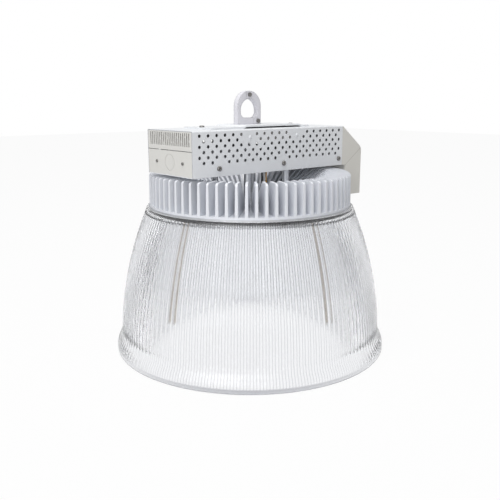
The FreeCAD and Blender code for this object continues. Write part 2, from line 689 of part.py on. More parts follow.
access = folded("access_cover", [
    ("-innerHalf", "trayTop"),
    ("innerHalf", "trayTop"),
    ("innerHalf", "accessTop"),
    ("-innerHalf", "accessTop"),
], "-boxLeft", "sheetSteel")
knockout = sketchOn(access, "YZ_Plane", "knockoutLine", "-boxLeft")
ring(knockout, "0", "boxFloor + accessScrewRise", "knockoutRadius")
ring(knockout, "0", "boxFloor + accessScrewRise", "knockoutRadius - knockoutGroove")
pocket(access, knockout, "knockoutDepth", "knockoutCut", reverse=True)
keep(access, "access_cover")
copies("access_screws", smallPan, [
    place(-sheet.boxLeft, side * sheet.accessScrewReach, levels.boxFloor + sheet.accessScrewRise,
          (0, 1, 0), -90) for side in (-1, 1)])

# ---------------------------------------------------------------- wiring arm
arm = newBody("arm_housing")
armOutline = outline(sketchOn(arm, "XZ_Plane", "armSection"), [
    ("boxRight", "boxTop"),
    ("boxRight", "boxFloor"),
    ("armInner", "boxFloor"),
    ("armInner", "armFoot"),
    ("armOuter", "armFoot"),
    ("armOuter", "boxTop - armShoulderDrop"),
])
pad(arm, armOutline, "boxWidth", "armBlock", symmetric=True)
doc.recompute()
bend = arm.newObject("PartDesign::Fillet", "armShoulder")
block = arm.getObject("armBlock").Shape
shoulder = [f"Edge{index}" for index, edge in enumerate(block.Edges, start=1)
            if all(abs(vertex.X - sheet.armOuter) < 0.01
                   and abs(vertex.Z - levels.boxTop + sheet.armShoulderDrop) < 0.01
                   for vertex in edge.Vertexes)]
bend.Base = (arm.getObject("armBlock"), shoulder)
bind(bend, Radius="armBend")
doc.recompute()
shell = arm.newObject("PartDesign::Thickness", "armShell")
openFaces = []
for index, face in enumerate(bend.Shape.Faces, start=1):
    middle = face.CenterOfMass
    normal = face.normalAt(0, 0)
    towardsBox = normal.x < -0.99
    underBox = normal.z < -0.99 and abs(middle.z - levels.boxFloor) < 0.01
    if towardsBox or underBox:
        openFaces.append(f"Face{index}")
shell.Base = (bend, openFaces)
shell.Join = "Intersection"
bind(shell, Value="sheetSteel")
keep(arm, "arm_housing")
keep(box("arm_inner_plate", "armInner - sheetSteel", "-innerHalf", "armFoot + sheetSteel",
         "sheetSteel", "2 * innerHalf", "boxFloor + trayLip - armFoot - sheetSteel"), "arm_inner_plate")

# ---------------------------------------------------------------- saddle and bridge
saddle = newBody("mounting_saddle")
saddleOutline = outline(sketchOn(saddle, "XZ_Plane", "saddleSection"), [
    ("-saddleLeftEnd", "boxTop"),
    ("-saddleLeft - saddleRun", "boxTop"),
    ("-saddleLeft", "boxTop + saddleRise"),
    ("saddleRight", "boxTop + saddleRise"),
    ("saddleRight + saddleRun", "boxTop"),
    ("saddleRightEnd", "boxTop"),
    ("saddleRightEnd", "boxTop + saddlePlate"),
    ("saddleRight + saddleRun", "boxTop + saddlePlate"),
    ("saddleRight", "saddleTop"),
    ("-saddleLeft", "saddleTop"),
    ("-saddleLeft - saddleRun", "boxTop + saddlePlate"),
    ("-saddleLeftEnd", "boxTop + saddlePlate"),
])
pad(saddle, saddleOutline, "saddleWidth", "saddleSheet", symmetric=True)
saddleHole = sketchOn(saddle, "XY_Plane", "saddleHole", "saddleTop")
ring(saddleHole, "eyeMiddle", "0", "stemRadius + fitGap")
pocket(saddle, saddleHole, "saddleRise + saddlePlate", "saddleHoleCut")
keep(saddle, "mounting_saddle")
copies("saddle_screws", pan, [place(x, 0, levels.boxTop + sheet.saddlePlate) for x in (
    sheet.saddleScrewIn - levels.saddleLeftEnd, levels.saddleRightEnd - sheet.saddleScrewIn)])

bridge = folded("bridge_bracket", [
    ("-innerHalf", "bridgeTop - bridgeDepth"),
    ("bridgePlate - innerHalf", "bridgeTop - bridgeDepth"),
    ("bridgePlate - innerHalf", "washerTop"),
    ("innerHalf - bridgePlate", "washerTop"),
    ("innerHalf - bridgePlate", "bridgeTop - bridgeDepth"),
    ("innerHalf", "bridgeTop - bridgeDepth"),
    ("innerHalf", "bridgeTop"),
    ("-innerHalf", "bridgeTop"),
], "eyeMiddle - bridgeLength / 2", "bridgeLength")
bridgeHole = sketchOn(bridge, "XY_Plane", "bridgeHole", "bridgeTop")
ring(bridgeHole, "eyeMiddle", "0", "stemRadius + fitGap")
pocket(bridge, bridgeHole, "bridgePlate", "bridgeHoleCut")
keep(bridge, "bridge_bracket")
copies("bridge_rivets", smallPan, [place(x, side * levels.boxHalf, z, (1, 0, 0), -90 * side)
                                   for x, z in rivets for side in (-1, 1)])

# ---------------------------------------------------------------- hanging eye
eyeForm = newBody("eyeForm")
eyeOutline = outline(sketchOn(eyeForm, "XZ_Plane", "eyeOutline"), [
    ("eyeMiddle - eyeRadius", "saddleTop"),
    ("eyeMiddle + eyeRadius", "saddleTop"),
    ("eyeMiddle + eyeRadius", "eyeTop - eyeRadius", "eyeRadius", 1),
    ("eyeMiddle", "eyeTop", "eyeRadius", 1),
    ("eyeMiddle - eyeRadius", "eyeTop - eyeRadius"),
])
pad(eyeForm, eyeOutline, "eyePlate", "eyeBlock", symmetric=True)
eyeWindow = outline(sketchOn(eyeForm, "XZ_Plane", "eyeWindow"), [
    ("eyeMiddle - eyeHole + eyeCorner", "saddleTop + eyeSill"),
    ("eyeMiddle + eyeHole - eyeCorner", "saddleTop + eyeSill", "eyeCorner", 1),
    ("eyeMiddle + eyeHole", "saddleTop + eyeSill + eyeCorner"),
    ("eyeMiddle + eyeHole", "crownFall", "eyeHole", 1),
    ("eyeMiddle", "crownFall + eyeHole", "eyeHole", 1),
    ("eyeMiddle - eyeHole", "crownFall"),
    ("eyeMiddle - eyeHole", "saddleTop + eyeSill + eyeCorner", "eyeCorner", 1),
])
pocket(eyeForm, eyeWindow, "eyePlate + cutMargin", "eyeWindowCut", symmetric=True)
gateLimb = box("gateLimb", "eyeMiddle + gateLap", "-eyePlate / 2", "saddleTop + eyeSill",
               "eyeWidth", "eyePlate", "eyeHeight")
gateCrown = box("gateCrown", "eyeMiddle - gateLap", "-eyePlate / 2", "crownFall",
                "2 * gateLap", "eyePlate / 2", "eyeHeight")
gateHeel = box("gateHeel", "eyeMiddle + gateFoot", "-eyePlate / 2", "saddleTop",
               "eyeWidth", "eyePlate / 2", "eyeSill")
gateSpace = fuse("gateSpace", [gateLimb, gateCrown, gateHeel])
lockHole = crossPin("lockHole", "eyeMiddle", "-eyePlate", "eyeTop - lockScrewDrop",
                    "eyeScrewRadius + fitGap", "2 * eyePlate")
pivotHole = crossPin("pivotHole", "eyeMiddle + pivotReach", "-eyePlate", "saddleTop + pivotRise",
                     "eyeScrewRadius + fitGap", "2 * eyePlate")
eyeHoles = fuse("eyeHoles", [lockHole, pivotHole])
drilledEye = cut("drilledEye", eyeForm, eyeHoles)
gate = doc.addObject("Part::Common", "eye_gate")
gate.Base = drilledEye
gate.Tool = gateSpace
keep(gate, "eye_gate")
stem = post("stem", "eyeMiddle", "0", "saddleTop - stemLength", "stemRadius", "stemLength")
keep(fuse("eye_hook", [cut("hookLoop", drilledEye, gateSpace), stem]), "eye_hook")


def eyeScrew(name, x, z):
    # a screw through the eye's thickness, with its head at the front
    shank = crossPin(name + "Shank", x, "-eyePlate / 2", z, "eyeScrewRadius", "eyePlate")
    head = crossPin(name + "Head", x, "-eyePlate / 2 - screwHeadHeight", z, "eyeScrewHead", "screwHeadHeight")
    return keep(fuse(name, [shank, head]), name)


eyeScrew("gate_lock_screw", "eyeMiddle", "eyeTop - lockScrewDrop")
eyeScrew("gate_pivot_screw", "eyeMiddle + pivotReach", "saddleTop + pivotRise")

washerForm = post("washerForm", "eyeMiddle", "0", "washerTop - washerPlate", "washerRadius", "washerPlate")
washerHole = post("washerHole", "eyeMiddle", "0", "washerTop - washerPlate", "stemRadius + fitGap", "washerPlate")
keep(cut("stem_washer", washerForm, washerHole), "stem_washer")
nutForm = doc.addObject("Part::Prism", "nutForm")
nutForm.Polygon = 6
bind(nutForm, Circumradius="nutAcross / sqrt(3)", Height="nutHeight",
     Placement__Base__x="eyeMiddle", Placement__Base__z="washerTop - washerPlate - nutHeight")
nutHole = post("nutHole", "eyeMiddle", "0", "washerTop - washerPlate - nutHeight", "stemRadius + fitGap", "nutHeight")
keep(cut("stem_nut", nutForm, nutHole), "stem_nut")

# ---------------------------------------------------------------- standoffs
for alongSign, alongName in ((-1, "left"), (1, "right")):
    for acrossSign, acrossName in ((-1, "front"), (1, "rear")):
        name = f"standoff_{acrossName}_{alongName}"
        x, y = f"{alongSign} * standoffPitch / 2", f"{acrossSign} * standoffPitch / 2"
        bar = post(name + "Bar", x, y, "hubTop", "standoffRadius", "boxFloor - hubTop")
        bore = post(name + "Bore", x, y, "boxFloor - standoffBoreDepth", "standoffBore", "standoffBoreDepth")
        keep(cut(name, bar, bore), name)
doc.recompute()
copies("standoff_screws", longPan, [
    place(alongSign * sheet.standoffPitch / 2, acrossSign * sheet.standoffPitch / 2, levels.trayTop)
    for alongSign in (-1, 1) for acrossSign in (-1, 1)])

# ---------------------------------------------------------------- what the box holds
driverCase = box("driverCase", "driverMiddle - driverLength / 2", "-driverWidth / 2", "trayTop",
                 "driverLength", "driverWidth", "driverHeight")
driverEars = box("driverEars", "driverMiddle - driverLength / 2 - driverFlange", "-driverWidth / 4", "trayTop",
                 "driverLength + 2 * driverFlange", "driverWidth / 2", "driverEar")
keep(fuse("led_driver", [driverCase, driverEars]), "led_driver")
earReach = (sheet.driverLength + sheet.driverFlange) / 2
copies("driver_screws", pan, [
    place(sheet.driverMiddle + side * earReach, 0, levels.trayTop + sheet.driverEar) for side in (-1, 1)])
keep(box("terminal_block", "terminalX", "-terminalWidth / 2", "trayTop",
         "terminalLength", "terminalWidth", "terminalHeight"), "terminal_block")
keep(box("surge_arrester", "arresterX", "-arresterWidth / 2", "trayTop",
         "arresterLength", "arresterWidth", "arresterHeight"), "surge_arrester")


def grommet(name, floor, roof, lowerLip):
    # a rubber ring in a wire hole, with a lip above the plate and, where asked, one below it
    body = newBody(name)
    corners = [("grommetBore", floor), ("wireHoleRadius", floor), ("wireHoleRadius", roof),
               ("grommetFlange", roof), ("grommetFlange", f"{roof} + grommetLip"),
               ("grommetBore", f"{roof} + grommetLip")]
    if lowerLip:
        corners[:1] = [("grommetBore", f"{floor} - grommetLip"), ("grommetFlange", f"{floor} - grommetLip"),
                       ("grommetFlange", floor)]
    turn(body, outline(sketchOn(body, "XZ_Plane", name + "Section"), corners), name + "Turn")
    bind(body, Placement__Base__x="wireHoleX", Placement__Base__y="wireHoleY")
    return keep(body, name)


grommet("tray_grommet", "boxFloor", "trayTop", True)
grommet("hub_grommet", "sinkFloor", "hubTop", False)


def lead(name, points):
    # a wire of straight runs joined by arcs, each as large as its two runs allow
    spots = [FreeCAD.Vector(*point) for point in points]
    edges = []
    start = spots[0]
    for before, knee, after in zip(spots, spots[1:], spots[2:]):
        towards, away = (knee - before).normalize(), (after - knee).normalize()
        half = towards.getAngle(away) / 2
        setback = 0.45 * min((knee - before).Length, (after - knee).Length)
        radius = setback / math.tan(half)
        leave, join = knee - towards * setback, knee + away * setback
        inward = (away - towards).normalize()
        middle = knee + inward * (radius / math.cos(half) - radius)
        edges += [Part.LineSegment(start, leave).toShape(), Part.Arc(leave, middle, join).toShape()]
        start = join
        print(f"{name}: bend radius {radius:.1f}")
    edges.append(Part.LineSegment(start, spots[-1]).toShape())
    path = Part.Wire(edges)
    section = Part.Wire(Part.Circle(spots[0], spots[1] - spots[0], sheet.leadRadius).toShape())
    tube = path.makePipeShell([section], True, False)
    true = math.pi * sheet.leadRadius**2 * path.Length
    print(f"{name}: volume {tube.Volume:.1f}, section times length {true:.1f}")
    wire = doc.addObject("Part::Feature", name)
    wire.Shape = tube
    return keep(wire, name)


for step, (colour, share) in enumerate((("yellow", 0.7), ("black", 0.3), ("white", 0.3))):
    turnAngle = 2 * math.pi * step / 3
    x = sheet.wireHoleX + sheet.leadSpread * math.cos(turnAngle)
    y = sheet.wireHoleY + sheet.leadSpread * math.sin(turnAngle)
    height = levels.trayTop + share * sheet.terminalHeight
    lead(f"{colour}_lead", [
        (sheet.terminalX, y, height),
        (x, y, height),
        (x, y, levels.sinkFloor),
    ])

# ---------------------------------------------------------------- checks and files
doc.recompute()
for thing in doc.Objects:
    if "Invalid" in thing.State or "Error" in thing.State:
        raise RuntimeError(f"{thing.Name} failed: {thing.State}")
for piece in pieces:
    if piece.Shape.isNull() or not piece.Shape.isValid():
        raise RuntimeError(f"{piece.Label} has no valid shape")
os.makedirs("parts", exist_ok=True)
for piece in pieces:
    piece.Shape.exportStep(f"parts/{piece.Label}.step")
print(len(pieces), "pieces written")
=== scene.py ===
import json
import math
import bpy
import bmesh
import numpy as np
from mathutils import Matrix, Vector
from mathutils.geometry import delaunay_2d_cdt

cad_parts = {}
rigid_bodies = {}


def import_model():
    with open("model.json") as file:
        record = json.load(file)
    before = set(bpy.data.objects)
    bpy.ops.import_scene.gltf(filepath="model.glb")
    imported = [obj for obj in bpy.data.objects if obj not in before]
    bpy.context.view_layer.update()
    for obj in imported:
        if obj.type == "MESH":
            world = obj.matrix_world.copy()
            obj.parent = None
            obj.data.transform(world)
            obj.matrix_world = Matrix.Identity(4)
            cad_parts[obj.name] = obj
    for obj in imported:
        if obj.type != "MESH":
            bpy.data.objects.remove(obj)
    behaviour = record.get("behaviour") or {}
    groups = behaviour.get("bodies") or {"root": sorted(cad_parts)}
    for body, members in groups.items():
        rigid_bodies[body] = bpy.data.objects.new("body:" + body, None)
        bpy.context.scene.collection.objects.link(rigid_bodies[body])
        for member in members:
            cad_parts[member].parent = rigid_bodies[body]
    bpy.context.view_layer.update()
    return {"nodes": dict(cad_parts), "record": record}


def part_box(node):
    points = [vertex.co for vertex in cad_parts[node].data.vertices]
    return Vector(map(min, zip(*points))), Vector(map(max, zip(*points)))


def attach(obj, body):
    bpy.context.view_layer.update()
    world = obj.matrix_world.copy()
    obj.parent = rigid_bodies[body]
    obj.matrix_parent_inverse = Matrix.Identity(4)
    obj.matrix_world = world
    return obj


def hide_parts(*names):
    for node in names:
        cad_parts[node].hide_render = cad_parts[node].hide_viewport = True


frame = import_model()
mm = 0.001
weldGap = 0.001 * mm


# Small tools

def linear(hexColour):
    # sRGB hex to linear: a straight line in the darks, a 2.4 power above them
    parts = [int(hexColour[i:i + 2], 16) / 255 for i in (1, 3, 5)]
    return tuple(p / 12.92 if p <= 0.04045 else ((p + 0.055) / 1.055) ** 2.4 for p in parts) + (1.0,)


def darkened(hexColour, share):
    parts = [int(int(hexColour[i:i + 2], 16) * share) for i in (1, 3, 5)]
    return "#" + "".join(f"{part:02x}" for part in parts)


def addNode(tree, kind, settings=None, links=None):
    # One node. A setting goes to the property or socket of that name or number, and a link, which is
    # (node, output), to a socket. A Mix node has its colours at 6 and 7 and gives its blend at 2.
    node = tree.nodes.new(kind)
    for name, value in (settings or {}).items():
        if isinstance(name, str) and hasattr(node, name):
            setattr(node, name, value)
        else:
            node.inputs[name].default_value = value
    for name, (source, output) in (links or {}).items():
        tree.links.new(source.outputs[output], node.inputs[name])
    return node


def newMaterial(name):
    material = bpy.data.materials.new(name)
    material.use_nodes = True
    material.node_tree.nodes.clear()
    return material, material.node_tree


# Camera, floor and light

view = {
    "place": (-0.6275, -0.7263, 0.3683),
    "pitch": -0.2261,  # radians above the horizon
    "turn": -0.7126,  # radians about +Z, from looking along +Y
    "lens": 46.14,
    "shiftY": -0.006,
    "clipStart": 0.01,
}
studio = {
    "floorSize": 12.0,
    "floorDrop": 0.5,  # millimetres below the rim
    "floorColour": "#dedede",
    "floorGlow": 0.95,  # share of plain white that the camera sees in the floor
    "throughShare": 1.0,  # share of it that shows through the acrylic
    "shineShare": 0.6,  # share of it that shows on glossy skins
    "ambient": 0.32,
    "white": (1, 1, 1, 1),
}
lamps = {  # place, the point it faces, width and height, power
    "keySoftbox": ((-2.1, -0.6, 1.1), (0, 0, 0.22), (1.8, 1.4), 10.0),
    "frontSoftbox": ((-1.6, -1.4, 0.6), (0, 0, 0.2), (2.0, 1.4), 12.0),
    "topSoftbox": ((-0.45, -0.25, 2.3), (0, 0, 0.3), (1.6, 1.6), 36.0),
}


def makeCamera():
    data = bpy.data.cameras.new("camera")
    data.lens = view["lens"]
    data.shift_y = view["shiftY"]
    data.clip_start = view["clipStart"]
    camera = bpy.data.objects.new("camera", data)
    camera.location = view["place"]
    camera.rotation_euler = (math.pi / 2 + view["pitch"], 0, view["turn"])
    bpy.context.collection.objects.link(camera)
    bpy.context.scene.camera = camera


def whitened(tree):
    # 1 for what the camera sees directly, a share for what it sees through or on a glossy skin, else 0
    ray = addNode(tree, "ShaderNodeLightPath")
    shine = addNode(tree, "ShaderNodeMath", {"operation": "MULTIPLY", 1: studio["shineShare"]},
                    {0: (ray, "Is Glossy Ray")})
    through = addNode(tree, "ShaderNodeMath", {"operation": "MULTIPLY", 1: studio["throughShare"]},
                      {0: (ray, "Is Transmission Ray")})
    bent = addNode(tree, "ShaderNodeMath", {"operation": "MAXIMUM"}, {0: (shine, 0), 1: (through, 0)})
    return addNode(tree, "ShaderNodeMath", {"operation": "MAXIMUM"},
                   {0: (ray, "Is Camera Ray"), 1: (bent, 0)})


def makeWorld():
    # soft even studio light, seen as plain white behind the fixture
    world = bpy.data.worlds.new("studioWorld")
    bpy.context.scene.world = world
    world.use_nodes = True
    tree = world.node_tree
    tree.nodes.clear()
    strength = addNode(tree, "ShaderNodeMapRange", {"To Min": studio["ambient"], "To Max": 1.0},
                       {"Value": (whitened(tree), 0)})
    shade = addNode(tree, "ShaderNodeBackground", {"Color": studio["white"]}, {"Strength": (strength, 0)})
    addNode(tree, "ShaderNodeOutputWorld", None, {"Surface": (shade, 0)})


def addLamp(name, place, target, size, power):
    # a softbox that faces its target, with its first side level
    data = bpy.data.lights.new(name, "AREA")
    data.shape = "RECTANGLE"
    data.size, data.size_y = size
    data.energy = power
    lamp = bpy.data.objects.new(name, data)
    lamp.location = place
    away = np.array(target, float) - np.array(place, float)
    away /= np.linalg.norm(away)
    lamp.rotation_euler = (math.acos(-away[2]), 0, math.atan2(away[0], -away[1]) + math.pi)
    bpy.context.collection.objects.link(lamp)


def makeFloor():
    # matte floor that keeps the shadow, but is nearly white to the camera
    half = studio["floorSize"] / 2
    corners = [(-half, -half, 0), (half, -half, 0), (half, half, 0), (-half, half, 0)]
    mesh = bpy.data.meshes.new("floor")
    mesh.from_pydata(corners, [], [(0, 1, 2, 3)])
    floor = bpy.data.objects.new("floor", mesh)
    bpy.context.collection.objects.link(floor)
    floor.location.z = -studio["floorDrop"] * mm
    material, tree = newMaterial("matteWhiteFloor")
    share = addNode(tree, "ShaderNodeMapRange", {"To Max": studio["floorGlow"]},
                    {"Value": (whitened(tree), 0)})
    paint = addNode(tree, "ShaderNodeBsdfDiffuse", {"Color": linear(studio["floorColour"])})
    glow = addNode(tree, "ShaderNodeEmission", {"Color": studio["white"], "Strength": 1.0})
    mix = addNode(tree, "ShaderNodeMixShader", None, {0: (share, 0), 1: (paint, 0), 2: (glow, 0)})
    addNode(tree, "ShaderNodeOutputMaterial", None, {"Surface": (mix, 0)})
    mesh.materials.append(material)


makeCamera()
makeWorld()
makeFloor()
for lampName, (place, target, size, power) in lamps.items():
    addLamp(lampName, place, target, size, power)
print("camera, floor and light are in place")


# Finishes. Grain and edges are in millimetres, clouds are so many to a metre.

powderCoat = {  # polyester powder coat: a baked skin with a fine orange peel, semi-gloss
    "roughness": 0.42,
    "spread": (-0.06, 0.08),
    "glossFrom": "cloud",
    "grain": 0.9,
    "grainDetail": 2.0,
    "cloudScale": 14.0,
    "cloudDetail": 3.0,
    "dip": 0.965,  # the colour's share that is left in the darkest clouds
    "bump": 0.25,
    "bumpHeight": 0.05,
    "edgeRadius": 0.5,
    "shade": {"IOR": 1.5},
}
plainMetal = {  # zinc plate or satin sheet: a grain in the gloss, drawn coarser than the real one to show
    "roughness": 0.35,
    "spread": (-0.08, 0.1),
    "glossFrom": "grain",
    "grain": 0.6,
    "grainDetail": 3.0,
    "cloudScale": 40.0,
    "cloudDetail": 4.0,
    "dip": 0.85,
    "bump": 0.2,
    "bumpHeight": 0.03,
    "edgeRadius": 0.2,
    "shade": {"Metallic": 1.0},
}
mouldedPlastic = {  # moulded plastic, rubber or silicone: dielectric, with a spark-eroded grain
    "roughness": 0.5,
    "spread": (-0.08, 0.1),
    "glossFrom": "grain",
    "grain": 0.8,
    "grainDetail": 3.0,
    "cloudScale": 60.0,
    "cloudDetail": 2.0,
    "dip": 0.9,
    "bump": 0.3,
    "bumpHeight": 0.04,
    "shade": {"IOR": 1.46},
}
mitre = {  # the line of the mitre on the arm's side, in millimetres as (x, z)
    "ends": ((155.0, 268.0), (192.0, 293.6)),
    "core": 0.15,
    "reach": 0.7,
    "colour": "#bab7af",
}
acrylic = {  # injection moulded acrylic
    "ior": 1.49,
    # dark grey painted on the prism edges as shade, in place of the dark lines that refraction in the
    # prisms gives
    "prismShadeTint": "#5c5e6e",
    "seamTint": "#a49a8f",
    "fadeTo": 0.1,  # the painted prism shade is this weak where the skin turns away from the eye
    "fadeAt": 0.8,
    "rippleScale": 60.0,
    "rippleDetail": 2.0,
    "rippleBump": 0.15,
    "rippleHeight": 0.1,
    "glossSpread": (0.6, 1.4),
}


def seamShare(tree, where, seam):
    # 1 on a straight seam across a piece's side, by the distance of (x, z) from the line through its ends
    (x, z), (farX, farZ) = seam["ends"]
    length = math.hypot(farX - x, farZ - z)
    normal = ((z - farZ) / length, 0, (farX - x) / length)
    offset = (normal[0] * x + normal[2] * z) * mm
    along = addNode(tree, "ShaderNodeVectorMath", {"operation": "DOT_PRODUCT", 1: normal},
                    {0: (where, "Object")})
    off = addNode(tree, "ShaderNodeMath", {"operation": "SUBTRACT", 1: offset}, {0: (along, "Value")})
    far = addNode(tree, "ShaderNodeMath", {"operation": "ABSOLUTE"}, {0: (off, 0)})
    limits = {"From Min": seam["core"] * mm, "From Max": seam["reach"] * mm, "To Min": 1.0, "To Max": 0.0}
    return addNode(tree, "ShaderNodeMapRange", limits, {"Value": (far, 0)})


def opaqueFinish(name, colour, kind, **changes):
    # A finish of one of the kinds above: its tone dips in soft clouds, and a fine grain bumps the skin.
    look = {**kind, **changes}
    material, tree = newMaterial(name)
    where = addNode(tree, "ShaderNodeTexCoord")
    grain = addNode(tree, "ShaderNodeTexNoise",
                    {"Scale": 1 / (look["grain"] * mm), "Detail": look["grainDetail"]},
                    {"Vector": (where, "Object")})
    cloud = addNode(tree, "ShaderNodeTexNoise",
                    {"Scale": look["cloudScale"], "Detail": look["cloudDetail"]},
                    {"Vector": (where, "Object")})
    deeper = darkened(colour, look["dip"])
    tone = addNode(tree, "ShaderNodeMix", {"data_type": "RGBA", 6: linear(deeper), 7: linear(colour)},
                   {0: (cloud, "Fac")})
    if "seam" in look:
        onSeam = seamShare(tree, where, look["seam"])
        tone = addNode(tree, "ShaderNodeMix", {"data_type": "RGBA", 7: linear(look["seam"]["colour"])},
                       {0: (onSeam, 0), 6: (tone, 2)})
    low, high = look["spread"]
    gloss = addNode(tree, "ShaderNodeMapRange",
                    {"To Min": look["roughness"] + low, "To Max": look["roughness"] + high},
                    {"Value": ({"grain": grain, "cloud": cloud}[look["glossFrom"]], "Fac")})
    skin = {"Height": (grain, "Fac")}
    if "edgeRadius" in look:
        edge = addNode(tree, "ShaderNodeBevel", {"samples": 4, "Radius": look["edgeRadius"] * mm})
        skin["Normal"] = (edge, 0)
    bump = addNode(tree, "ShaderNodeBump",
                   {"Strength": look["bump"], "Distance": look["bumpHeight"] * mm}, skin)
    shade = addNode(tree, "ShaderNodeBsdfPrincipled", look["shade"],
                    {"Base Color": (tone, 2), "Roughness": (gloss, 0), "Normal": (bump, 0)})
    addNode(tree, "ShaderNodeOutputMaterial", None, {"Surface": (shade, 0)})
    return material


def clearFinish(name, colour, roughness, haze):
    # Clear acrylic with a faint ripple and a share of milky haze. Where a piece has them, one attribute
    # paints dark shade on the rounded prism edges in place of the lines that refraction in the prisms
    # shows, and the seam attribute tints the mould's parting lines.
    material, tree = newMaterial(name)
    where = addNode(tree, "ShaderNodeTexCoord")
    ripple = addNode(tree, "ShaderNodeTexNoise",
                     {"Scale": acrylic["rippleScale"], "Detail": acrylic["rippleDetail"]},
                     {"Vector": (where, "Object")})
    # painted shade on the prism edges, weaker where the skin turns away from the eye
    prismShade = addNode(tree, "ShaderNodeAttribute", {"attribute_name": "prismShade"})
    seam = addNode(tree, "ShaderNodeAttribute", {"attribute_name": "seam"})
    facing = addNode(tree, "ShaderNodeLayerWeight", {"Blend": 0.5})
    shown = addNode(tree, "ShaderNodeMapRange",
                    {"From Max": acrylic["fadeAt"], "To Min": 1.0, "To Max": acrylic["fadeTo"]},
                    {"Value": (facing, "Facing")})
    drawn = addNode(tree, "ShaderNodeMath", {"operation": "MULTIPLY"}, {0: (prismShade, "Fac"), 1: (shown, 0)})
    body = addNode(tree, "ShaderNodeMix",
                   {"data_type": "RGBA", 6: linear(colour), 7: linear(acrylic["prismShadeTint"])},
                   {0: (drawn, 0)})
    tint = addNode(tree, "ShaderNodeMix", {"data_type": "RGBA", 7: linear(acrylic["seamTint"])},
                   {0: (seam, "Fac"), 6: (body, 2)})
    low, high = acrylic["glossSpread"]
    gloss = addNode(tree, "ShaderNodeMapRange", {"To Min": roughness * low, "To Max": roughness * high},
                    {"Value": (ripple, "Fac")})
    wave = {"Strength": acrylic["rippleBump"], "Distance": acrylic["rippleHeight"] * mm}
    bump = addNode(tree, "ShaderNodeBump", wave, {"Height": (ripple, "Fac")})
    clear = addNode(tree, "ShaderNodeBsdfPrincipled", {"IOR": acrylic["ior"], "Transmission Weight": 1.0},
                    {"Base Color": (tint, 2), "Roughness": (gloss, 0), "Normal": (bump, 0)})
    milk = addNode(tree, "ShaderNodeBsdfTranslucent", None, {"Color": (tint, 2)})
    chalk = addNode(tree, "ShaderNodeBsdfDiffuse", None, {"Color": (tint, 2)})
    cloudy = addNode(tree, "ShaderNodeMixShader", {0: 0.5}, {1: (milk, 0), 2: (chalk, 0)})
    mix = addNode(tree, "ShaderNodeMixShader", {0: haze}, {1: (clear, 0), 2: (cloudy, 0)})
    addNode(tree, "ShaderNodeOutputMaterial", None, {"Surface": (mix, 0)})
    return material


finishes = {
    # white semi-gloss skins: cool on the cover, creamy at its ends, more uneven on the castings
    "powder_coated_steel": opaqueFinish("powderCoatedSteelWhite", "#e9ebee", powderCoat),
    "warm_powder_coat": opaqueFinish("powderCoatedSteelIvory", "#dddcd8", powderCoat),
    "cast_aluminium_white": opaqueFinish("powderCoatedCastAluminium", "#e4e7ed", powderCoat,
                                         grain=1.4, bump=0.4, edgeRadius=0.9),
    "cast_eye": opaqueFinish("coatedCastEye", "#dedde3", powderCoat,
                             grain=1.2, roughness=0.45, bump=0.5, edgeRadius=3.0),
    # clear with a soft blur behind it, and a frosted one that glows
    "clear_acrylic": clearFinish("clearPrismaticAcrylic", "#fcfdff", 0.17, 0.07),
    "lens_acrylic": clearFinish("frostedLensAcrylic", "#f4f4f4", 0.35, 0.3),
    # pale satin sheet, and darker screws with sharper lights
    "aluminium_sheet": opaqueFinish("satinAluminium", "#d3d5d9", plainMetal, roughness=0.4),
    "zinc_plated_steel": opaqueFinish("zincPlatedSteel", "#8f8c8a", plainMetal, roughness=0.24),
    # even-toned skins, from silky board and leads to dull rubber
    "white_solder_mask": opaqueFinish("whiteSolderMask", "#f2f2f0", mouldedPlastic, roughness=0.35),
    "led_phosphor": opaqueFinish("ledPhosphor", "#f2d75a", mouldedPlastic, roughness=0.3),
    "rubber_black": opaqueFinish("blackRubber", "#161616", mouldedPlastic, roughness=0.75),
    "silicone_white": opaqueFinish("whiteSilicone", "#dcdcda", mouldedPlastic, roughness=0.6),
    "insulation_yellow": opaqueFinish("yellowInsulation", "#e0a02a", mouldedPlastic, roughness=0.4),
    "insulation_black": opaqueFinish("blackInsulation", "#141414", mouldedPlastic, roughness=0.4),
    "insulation_white": opaqueFinish("whiteInsulation", "#e6e6e2", mouldedPlastic, roughness=0.4),
    "nylon_block": opaqueFinish("nylonBlock", "#d9d6cb", mouldedPlastic),
}

# painted shade: the cover's inside dark grey with a large spangle, its cut edges and hole walls grey; the
# arm with its mitre line
paintedInsideShade = opaqueFinish("insidePaintedShade", "#47494b", plainMetal, roughness=0.55, grain=2.5)
mitredArm = opaqueFinish("powderCoatedSteelMitred", "#dcdad4", powderCoat, seam=mitre)
# grey painted on the cut edges and hole walls as their shade
paintedEdgeShade = opaqueFinish("cutEdgePaintedShade", "#bcbec2", powderCoat, roughness=0.5)


def dressNodes():
    # each CAD node takes the finish of the material slot that the record gives it
    for part in frame["record"]["subparts"]:
        node = bpy.data.objects[part["node"]]
        for slot in node.material_slots:
            slot.material = finishes[part["material_slot"]]
    for slot in bpy.data.objects["arm_housing"].material_slots:
        slot.material = mitredArm


dressNodes()
print("finishes are on the CAD nodes")


# Meshes from grids

def addMesh(name, points, quads, finish, smooth=True):
    mesh = bpy.data.meshes.new(name)
    mesh.vertices.add(len(points))
    mesh.vertices.foreach_set("co", np.asarray(points, np.float32).ravel())
    mesh.loops.add(quads.size)
    mesh.loops.foreach_set("vertex_index", quads.astype(np.int32).ravel())
    mesh.polygons.add(len(quads))
    mesh.polygons.foreach_set("loop_start", np.arange(len(quads), dtype=np.int32) * quads.shape[1])
    mesh.polygons.foreach_set("use_smooth", np.full(len(quads), smooth))
    mesh.update(calc_edges=True)
    mesh.validate()
    mesh.materials.append(finish)
    piece = bpy.data.objects.new(name, mesh)
    bpy.context.collection.objects.link(piece)
    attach(piece, "root")
    return piece


def weldedShape(mesh):
    shape = bmesh.new()
    shape.from_mesh(mesh)
    bmesh.ops.remove_doubles(shape, verts=shape.verts, dist=weldGap)
    return shape


